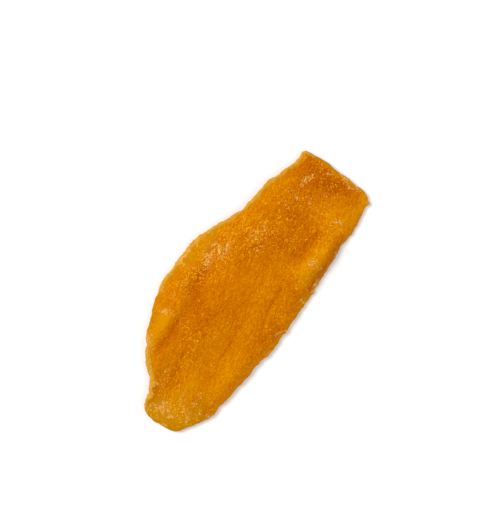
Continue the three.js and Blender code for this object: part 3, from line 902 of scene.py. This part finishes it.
def flesh_colour(tree, colours, cloudy, mottled, grain, specks):
    """Colour of the bare flesh. Its shade runs from deep orange to gold with the tone mask, which holds
    painted shade in hollows and creases and painted light on crests, and with clouds, mottles, fibres, fine
    scratches and grain, whose share stands partly for painted light and shade on tiny wrinkles. The hue mask
    then takes it towards the olive border or the flush."""
    layers = [
        (cloudy, CLOUD_SHARE),
        (mottled, MOTTLE_SHARE),
        (noise(tree, FIBRE_LINES), FIBRE_SHARE),
        (noise(tree, SCRATCHES), SCRATCH_SHARE),
        (grain, maths(tree, "MULTIPLY_ADD", specks, SPECK_GRAIN_SHARE, GRAIN_AND_SHADING_SHARE)),
    ]
    shade = maths(tree, "MULTIPLY_ADD", mask(tree, "tone_and_shade"), TONE_AND_SHADE_SHARE, SHADE_MIDDLE)
    for values, share in layers:
        shade = maths(tree, "MULTIPLY_ADD", maths(tree, "SUBTRACT", values, 0.5), share, shade)
    colour = blend(tree, smooth_step(tree, shade, *DEEP_TO_PLAIN), colours.deep, colours.flesh)
    colour = blend(tree, smooth_step(tree, shade, *PLAIN_TO_GOLD), colour, colours.gold)
    hue = mask(tree, "hue")
    colour = blend(tree, maths(tree, "MULTIPLY", hue, HUE_STRENGTH, clamp=True), colour, colours.olive)
    return blend(tree, maths(tree, "MULTIPLY", hue, -HUE_STRENGTH, clamp=True), colour, colours.flush)


def bright_curls_and_glints(tree, place, cloudy, specks):
    """Fine bright curls and dashes in the flesh, painted glints on its tiny bumps, more of them among the
    specks and where clouds are light.
    """
    presence = maths(tree, "MULTIPLY_ADD", cloudy, CLOUD_CURLS, CURLS_LEAST)
    presence = maths(tree, "MULTIPLY_ADD", specks, SPECK_CURLS, presence)
    inputs = {"Place": place, "Size": 1.2, "Width": 0.08, "Presence": presence}
    curls = placed_group(tree, "lace", inputs)["Lace"]
    dashes = placed_group(tree, "dashes", {"Place": place, "Presence": presence})["Dashes"]
    return maths(tree, "MAXIMUM", maths(tree, "MULTIPLY", curls, LACE_BRIGHTNESS), dashes)


def sugar_crust(tree, bloom, rim, mottled):
    """Where dried sugar covers the flesh: a fine noise above a limit that falls as the bloom gets stronger,
    or less so on the pale rim. The mottles make that patchy."""
    presence = maths(tree, "MAXIMUM", bloom, maths(tree, "MULTIPLY", rim, RIM_CRUST))
    patchy = maths(tree, "MULTIPLY", presence, maths(tree, "MULTIPLY_ADD", mottled, 1.2, 0.4))
    limit = maths(tree, "MULTIPLY_ADD", patchy, -CRUST_FALL, CRUST_LIMIT)
    crumbs = noise(tree, CRUST_CRUMBS)
    covered = smooth_step(tree, crumbs, limit, maths(tree, "ADD", limit, CRUST_EDGE))
    return maths(tree, "MULTIPLY", covered, smooth_step(tree, presence, 0.02, 0.3))


def flesh_material(colours):
    """Satin, slightly translucent dried flesh with fine bright curls that are painted glints, painted shade
    and light in its tone, the pale cut rim, and sugar as a faint haze and as a crust."""
    material, tree, shader = new_material("mango flesh")
    place = millimetres(tree)
    bloom, rim, specks = (mask(tree, name) for name in ("bloom", "pale_rim", "specks"))
    surface = placed_group(tree, "surface grain", {"Place": place, "Size": FLESH_GRAIN})
    grain = surface["Grain"]
    cloudy, mottled = noise(tree, CLOUDS), noise(tree, MOTTLES)

    colour = flesh_colour(tree, colours, cloudy, mottled, grain, specks)
    bright = bright_curls_and_glints(tree, place, cloudy, specks)
    # Painted glints: the bright curls and dashes take the flesh towards the speck colour
    colour = blend(tree, maths(tree, "MULTIPLY", bright, CURL_AND_GLINT_STRENGTH), colour, colours.speck_and_glint)
    dryness = maths(tree, "MULTIPLY_ADD", mottled, RIM_MOTTLING, RIM_STRENGTH)
    colour = blend(tree, maths(tree, "MULTIPLY", rim, dryness, clamp=True), colour, colours.rim)
    haze = maths(tree, "MULTIPLY", bloom, smooth_step(tree, grain, 0.4, 0.62))
    colour = blend(tree, maths(tree, "MULTIPLY", haze, HAZE_STRENGTH), colour, colours.bloom)
    sugar = sugar_crust(tree, bloom, rim, mottled)
    colour = blend(tree, maths(tree, "MULTIPLY", sugar, CRUST_STRENGTH), colour, colours.bloom)

    rough = maths(tree, "MULTIPLY_ADD", surface["Pits"], -GLOSS, FLESH_ROUGHNESS)
    raised = maths(tree, "MAXIMUM", sugar, maths(tree, "MULTIPLY", bright, CURL_RELIEF))
    layers = [(grain, *GRAIN_RELIEF), (mottled, *MOTTLE_RELIEF), (raised, *SUGAR_RELIEF)]
    inputs = {
        "Base Color": colour,
        "Roughness": maths(tree, "MULTIPLY_ADD", sugar, SUGAR_ROUGHNESS, rough, clamp=True),
        "Normal": bumpy(tree, layers),
        "Subsurface Weight": 0.15,
        "Subsurface Radius": (1.0, 0.4, 0.08),
        "Subsurface Scale": 1.2 * MM,
        "Specular IOR Level": 0.04,
        "Specular Tint": (1.0, 0.5, 0.0, 1),
    }
    fill_inputs(tree, shader, inputs)
    return material


def sugar_material(colours):
    """Dull, slightly see-through crystals, stained by the fruit where they lie alone and pale in blooms."""
    material, tree, shader = new_material("fruit sugar")
    surface = placed_group(tree, "surface grain", {"Place": millimetres(tree), "Size": SUGAR_GRAIN})
    share = maths(tree, "MULTIPLY_ADD", surface["Grain"], 0.6, mask(tree, "bloom"))
    share = smooth_step(tree, share, 0.4, 1.1)
    inputs = {
        "Base Color": blend(tree, share, colours.sugar_deep, colours.sugar),
        "Roughness": maths(tree, "MULTIPLY_ADD", surface["Pits"], 0.3, 0.4),
        "Subsurface Weight": 0.3,
        "Subsurface Radius": (1.0, 0.5, 0.15),
        "Subsurface Scale": 0.6 * MM,
        "Specular IOR Level": 0.12,
        "Specular Tint": (1.0, 0.6, 0.2, 1),
    }
    fill_inputs(tree, shader, inputs)
    return material


def floor_material(colour):
    """Matt white board with a very faint unevenness."""
    material, tree, shader = new_material("floor board")
    place = add_node(tree, "TexCoord").outputs["Object"]
    faint = add_node(tree, "TexNoise", {"Vector": place, "Scale": 6.0, "Detail": 2.0}).outputs["Fac"]
    darker = [c * 0.985 for c in colour[:3]] + [1]
    board = blend(tree, faint, list(colour), darker)
    fill_inputs(tree, shader, {"Base Color": board, "Roughness": 0.9, "Specular IOR Level": 0.1})
    return material


def read_grid(grid, row, column):
    """Values between grid points, linear along rows and along columns, which go round."""
    low = np.clip(np.floor(row).astype(int), 0, len(grid) - 2)
    left = np.floor(column).astype(int)
    down, across = (row - low)[:, None], (column - left)[:, None]
    left = left % POINTS_ROUND
    right = (left + 1) % POINTS_ROUND
    upper = grid[low, left] * (1 - across) + grid[low, right] * across
    lower = grid[low + 1, left] * (1 - across) + grid[low + 1, right] * across
    return upper * (1 - down) + lower * down


def grid_steps(down, around, out, heading, step):
    """Rows and columns that steps over the skin take, from its change per row, its change per column, its
    outward direction and the heading, an angle from the direction in which the columns follow."""
    spacing = np.linalg.norm(around, axis=1)
    first = around / spacing[:, None]
    second = np.cross(out, first)
    height = np.sum(down * second, axis=1)
    least = np.where(height < 0, -LEAST_ROW, LEAST_ROW)
    rows = step * np.sin(heading) / np.where(np.abs(height) < LEAST_ROW, least, height)
    columns = (step * np.cos(heading) - rows * np.sum(down * first, axis=1)) / spacing
    return np.clip(rows, -MOST_CELLS, MOST_CELLS), np.clip(columns, -MOST_CELLS, MOST_CELLS)


def curly_chains(skin, masks, density, step, rng):
    """Places and outward directions of grains, and how rich the sugar is there. Each chain starts at a random
    place, picked by how much sugar there is, and walks over the skin in equal steps whose heading keeps
    turning."""
    normals = grid_normals(skin, [0, len(skin) - 1])
    down = np.gradient(skin, axis=0)
    around = (np.roll(skin, -1, axis=1) - np.roll(skin, 1, axis=1)) / 2
    area = np.linalg.norm(np.cross(down, around), axis=-1)
    amount = BARE_CHAINS + SPECK_CHAINS * masks["specks"] + BLOOM_CHAINS * masks["bloom"]
    amount = density * (amount + RIM_CHAINS * masks["pale_rim"] ** 2)
    chance = (area * amount)[:-1].ravel()
    count = int(chance.sum())
    picked = rng.choice(chance.size, count, p=chance / chance.sum())
    row = picked // POINTS_ROUND + rng.random(count)
    column = picked % POINTS_ROUND + rng.random(count)
    rich = np.maximum(masks["bloom"], RIM_RICHNESS * masks["pale_rim"])
    richness = np.clip(read_grid(rich[..., None], row, column)[:, 0], 0, 1)
    length = 1 + rng.poisson(CHAIN_GRAINS * (1 - RICH_SHORTENING * richness))
    heading = rng.uniform(0, 2 * np.pi, count)
    curl = rng.normal(0, CHAIN_CURL + RICH_CURL * richness, count)
    grains = []
    for walked in range(int(length.max())):
        walking = length > walked
        at = row[walking], column[walking]
        out = unit(read_grid(normals, *at))
        grains.append((read_grid(skin, *at), out, richness[walking]))
        heading[walking] += curl[walking] + rng.normal(0, CHAIN_WOBBLE, walking.sum())
        slopes = read_grid(down, *at), read_grid(around, *at)
        rows, columns = grid_steps(*slopes, out, heading[walking], step)
        row[walking] = np.clip(row[walking] + rows, 0, len(skin) - 1 - ROW_MARGIN)
        column[walking] += columns
    return [np.concatenate(values) for values in zip(*grains)]


def crystals(places, outs, richness, radius, rng):
    """Corners and faces of small uneven blocks: a cube's corners, each moved a little, squeezed along each
    axis and turned by a random unit quaternion. The middle of a block is GRAIN_LIFT times its size above the
    skin."""
    count = len(places)
    cube = np.array(list(product((-1, 1), repeat=3)), float)
    size = radius * (GRAIN_LEAST + GRAIN_MORE * richness) * rng.lognormal(0, GRAIN_SPREAD, count)
    corners = cube + rng.uniform(-CORNER_SHIFT, CORNER_SHIFT, (count, 8, 3))
    squeeze = rng.uniform(GRAIN_FLATTEST, 1.0, (count, 1, 3))
    corners = corners * squeeze * size[:, None, None] * GRAIN_HALF_SIDE
    w, x, y, z = unit(rng.normal(size=(count, 4))).T
    turn = np.array(
        [
            [1 - 2 * (y * y + z * z), 2 * (x * y - w * z), 2 * (x * z + w * y)],
            [2 * (x * y + w * z), 1 - 2 * (x * x + z * z), 2 * (y * z - w * x)],
            [2 * (x * z - w * y), 2 * (y * z + w * x), 1 - 2 * (x * x + y * y)],
        ]
    )
    corners = np.einsum("ijn,nkj->nki", turn, corners)
    corners += (places + outs * size[:, None] * GRAIN_LIFT)[:, None, :]
    faces = np.array(CUBE_SIDES) + 8 * np.arange(count)[:, None, None]
    return corners.reshape(-1, 3), faces.reshape(-1, 4)


def area_light(name, place, size, power):
    """A square soft light at a place, turned to face the origin."""
    light = bpy.data.lights.new(name, "AREA")
    light.shape = "SQUARE"
    light.size = size
    light.energy = power
    made = bpy.data.objects.new(name, light)
    x, y, z = place
    made.location = place
    made.rotation_euler = (math.atan2(math.hypot(x, y), z), 0, math.atan2(-y, -x) - math.pi / 2)
    bpy.context.scene.collection.objects.link(made)


def colour_setting(name, description, default):
    """A colour that a user may change."""
    return bpy.props.FloatVectorProperty(
        name=name, description=description, default=default, subtype="COLOR", size=4, min=0, max=1
    )


def number_setting(name, description, default, **limits):
    """A number that a user may change."""
    return bpy.props.FloatProperty(name=name, description=description, default=default, **limits)


class MangoColours(bpy.types.PropertyGroup):
    """Colours of the flesh and its sugar."""

    flesh: colour_setting("Flesh", "Dried flesh over most of the face", (0.512, 0.139, 0.0, 1))
    # Deep flesh also stands for painted shade where the tone mask is low, in hollows and creases
    deep: colour_setting("Deep flesh", "Flesh in hollows and creases", (0.37, 0.072, 0.0, 1))
    # Golden flesh also stands for painted light on crests and ridges
    gold: colour_setting("Golden flesh", "Paler flesh on ridges and by the skin side", (0.65, 0.245, 0.0, 1))
    flush: colour_setting("Flush", "Redder flesh of the ripest part", (0.61, 0.112, 0.0, 1))
    olive: colour_setting("Border", "Flesh by the skin side, inside the cut edge", (0.475, 0.202, 0.0, 1))
    rim: colour_setting("Cut rim", "Dry cut edge", (0.61, 0.295, 0.024, 1))
    # The speck colour is that of the painted glints in the bright curls and dashes
    speck_and_glint: colour_setting("Specks", "Fine bright curls in the flesh", (0.95, 0.43, 0.012, 1))
    bloom: colour_setting("Bloom", "Haze and crust of dried sugar on the flesh", (0.9, 0.435, 0.085, 1))
    sugar: colour_setting("Sugar", "Pale grains", (0.9, 0.455, 0.095, 1))
    sugar_deep: colour_setting("Deep sugar", "Grains that the fruit has stained", (0.92, 0.4, 0.01, 1))


class MangoSizes(bpy.types.PropertyGroup):
    """Sizes that may be changed without changing what the slice is."""

    wrinkle_depth: number_setting(
        "Wrinkle depth", "Height of all wrinkles, times the modelled one", 1.0, min=0, max=2
    )
    curls: number_setting(
        "Curls", "Chains of grains on a square millimetre where their shares add up to 1", 0.2, min=0, max=0.4
    )
    grain_radius: number_setting(
        "Grain radius", "Mean radius of a grain", 0.2 * MM, min=0, unit="LENGTH", precision=5
    )
    grain_step: number_setting(
        "Grain step", "Distance between grains of a chain", 0.22 * MM, min=0, unit="LENGTH", precision=5
    )


class MangoStage(bpy.types.PropertyGroup):
    """Floor, light and camera."""

    floor: colour_setting("Floor", "Pale matt floor", (0.93, 0.93, 0.93, 1))
    key_power: number_setting("Key light", "Power of the large soft light", 3.6, min=0, unit="POWER")
    fill_power: number_setting(
        "Fill light", "Power of the soft light on the other side", 1.6, min=0, unit="POWER"
    )
    sky: number_setting("Surround", "Strength of the even light from all round", 0.5, min=0)
    turn: number_setting(
        "Turn", "Angle of the slice above the picture's lower edge", math.radians(54.1), subtype="ANGLE"
    )
    distance: number_setting("Distance", "Height of the camera over the slice", 0.4, unit="LENGTH")
    view_height: number_setting(
        "View height", "Length on the slice that the picture's height covers", 0.1975, unit="LENGTH"
    )


class MANGO_OT_groups(bpy.types.Operator):
    """Make the node groups that the materials share"""

    bl_idname = "mango.groups"
    bl_label = "Shared effects"

    def execute(self, context):
        lace_group()
        dashes_group()
        grain_group()
        return {"FINISHED"}


class MANGO_OT_slice(bpy.types.Operator):
    """Add the slice of dried flesh, in place of its plain solid"""

    bl_idname = "mango.slice"
    bl_label = "Slice"

    def execute(self, context):
        scene = context.scene
        skin, masks = slice_skin(scene.mango_sizes)
        quads, kept, _ = weld(len(skin), [0, len(skin) - 1])
        masks = {name: values.ravel()[kept] for name, values in masks.items()}
        flesh = put_mesh("slice_flesh", skin.reshape(-1, 3)[kept], quads, masks)
        flesh.data.shade_smooth()
        flesh.data.materials.append(flesh_material(scene.mango_colours))
        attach(flesh, BODY)
        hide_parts(NODE)
        return {"FINISHED"}


class MANGO_OT_sugar(bpy.types.Operator):
    """Add the grains of sugar that lie on the slice"""

    bl_idname = "mango.sugar"
    bl_label = "Sugar"

    def execute(self, context):
        scene = context.scene
        sizes = scene.mango_sizes
        rng = np.random.default_rng(SUGAR_SEED)
        skin, masks = slice_skin(sizes)
        places, outs, richness = curly_chains(skin, masks, sizes.curls, sizes.grain_step / MM, rng)
        points, faces = crystals(places, outs, richness, sizes.grain_radius / MM, rng)
        points[:, 2] = np.maximum(points[:, 2], 0)
        sugar = put_mesh("sugar_grains", points, faces, {"bloom": np.repeat(richness, 8)})
        sugar.data.materials.append(sugar_material(scene.mango_colours))
        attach(sugar, BODY)
        return {"FINISHED"}


class MANGO_OT_stage(bpy.types.Operator):
    """Add the floor, the lights, the surround and the camera"""

    bl_idname = "mango.stage"
    bl_label = "Stage"

    def execute(self, context):
        scene = context.scene
        stage = scene.mango_stage
        floor = put_mesh("floor", np.array(FLOOR_CORNERS) * FLOOR_HALF_SIDE, np.array([[0, 1, 2, 3]]))
        floor.data.materials.append(floor_material(stage.floor))
        area_light("key light", KEY_PLACE, KEY_SIZE, stage.key_power)
        area_light("fill light", FILL_PLACE, FILL_SIZE, stage.fill_power)
        world = bpy.data.worlds.new("surround")
        world.use_nodes = True
        background = world.node_tree.nodes["Background"]
        fill_inputs(world.node_tree, background, {"Color": (1, 1, 1, 1), "Strength": stage.sky})
        scene.world = world
        camera = bpy.data.cameras.new("camera")
        camera.lens = camera.sensor_width / 2 / (stage.view_height / 2 / stage.distance)
        camera.clip_start = 0.01
        eye = bpy.data.objects.new("camera", camera)
        x, y, height = (value * MM for value in VIEW_CENTRE)
        eye.location = (x, y, height + stage.distance)
        eye.rotation_euler = (0, 0, -stage.turn)
        scene.collection.objects.link(eye)
        scene.camera = eye
        scene.view_settings.view_transform = "Standard"
        return {"FINISHED"}


class MANGO_PT_panel(bpy.types.Panel):
    """Settings and buttons of the slice"""

    bl_label = "Dried mango slice"
    bl_idname = "MANGO_PT_panel"
    bl_space_type = "VIEW_3D"
    bl_region_type = "UI"
    bl_category = "Mango"

    def draw(self, context):
        scene = context.scene
        for operator in OPERATORS:
            self.layout.operator(operator.bl_idname)
        for settings in (scene.mango_sizes, scene.mango_colours, scene.mango_stage):
            box = self.layout.box()
            for name in settings.__annotations__:
                box.prop(settings, name)


SETTINGS = {"mango_sizes": MangoSizes, "mango_colours": MangoColours, "mango_stage": MangoStage}
OPERATORS = (MANGO_OT_groups, MANGO_OT_slice, MANGO_OT_sugar, MANGO_OT_stage)


def register():
    """Adds the settings, the operators and the panel to Blender."""
    for name, group in SETTINGS.items():
        bpy.utils.register_class(group)
        setattr(bpy.types.Scene, name, bpy.props.PointerProperty(type=group))
    for kind in (*OPERATORS, MANGO_PT_panel):
        bpy.utils.register_class(kind)


def unregister():
    """Takes them out again."""
    for kind in (MANGO_PT_panel, *reversed(OPERATORS)):
        bpy.utils.unregister_class(kind)
    for name, group in SETTINGS.items():
        delattr(bpy.types.Scene, name)
        bpy.utils.unregister_class(group)


def main():
    """Builds everything."""
    register()
    bpy.ops.mango.groups()
    bpy.ops.mango.slice()
    bpy.ops.mango.sugar()
    bpy.ops.mango.stage()


if __name__ == "__main__":
    main()
